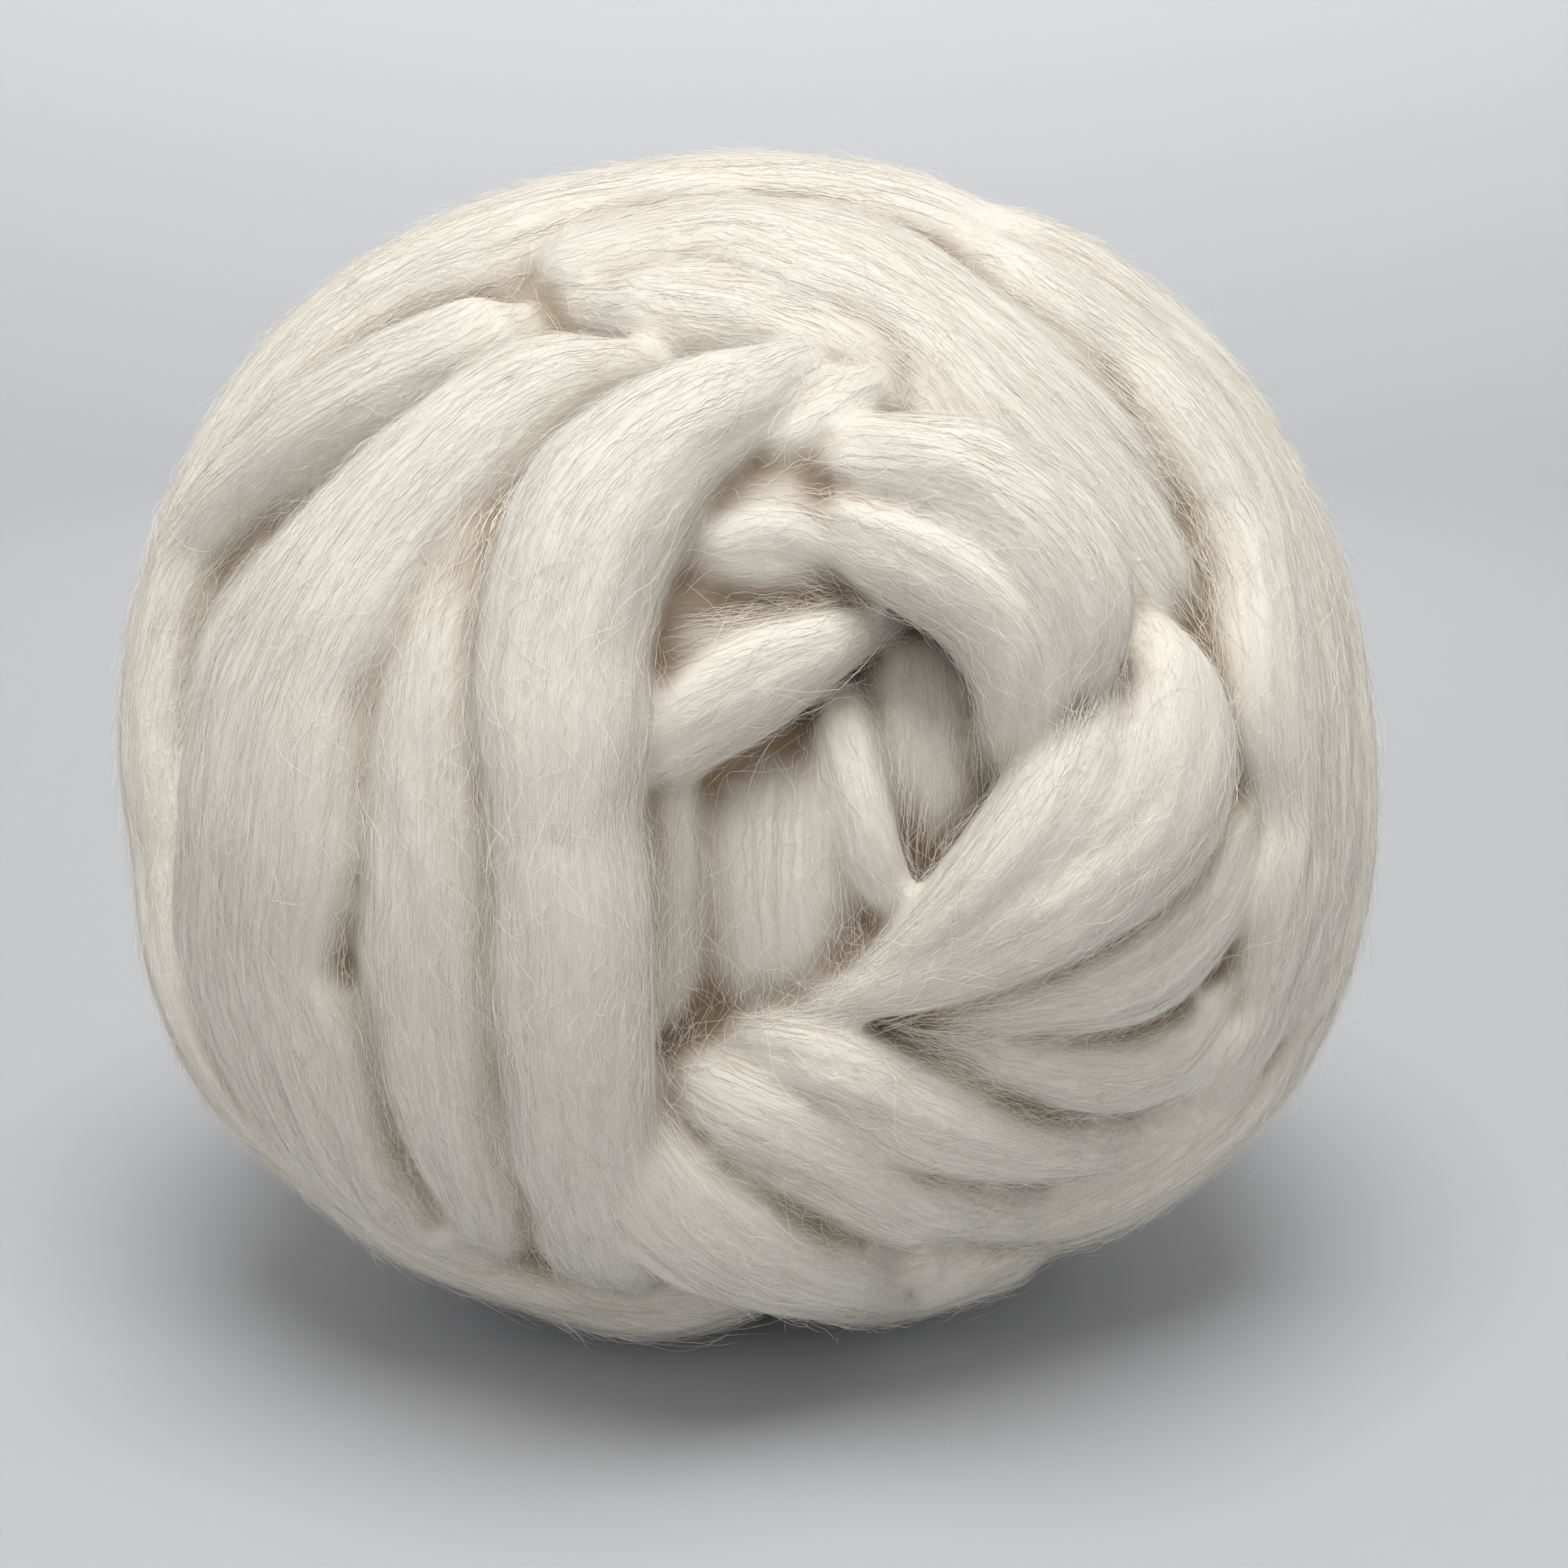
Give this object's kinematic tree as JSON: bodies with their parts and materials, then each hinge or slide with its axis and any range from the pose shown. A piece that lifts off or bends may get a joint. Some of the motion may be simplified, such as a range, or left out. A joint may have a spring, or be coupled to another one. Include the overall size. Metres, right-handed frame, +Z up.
{
  "type": "ball of wool roving",
  "caption": "Soft ball of undyed combed wool roving, wound round itself so that its turns spiral into a nest on one side, resting on a small flat spot.",
  "frame": {"origin": "centre of the ball's bounding box, on the surface that its flat spot rests on", "axes": "+Z up; -Y faces out of the wound face, where the turns spiral into a nest; +X to the right of the wound face and along the ball's longest extent"},
  "size_m": [0.1868, 0.1757, 0.1721],
  "materials": {
    "wool": "matte, softly silky along its fibres, with loose fuzz"
  },
  "bodies": {
    "root": {"roving_ball": "wool"}
  },
  "joints": []
}
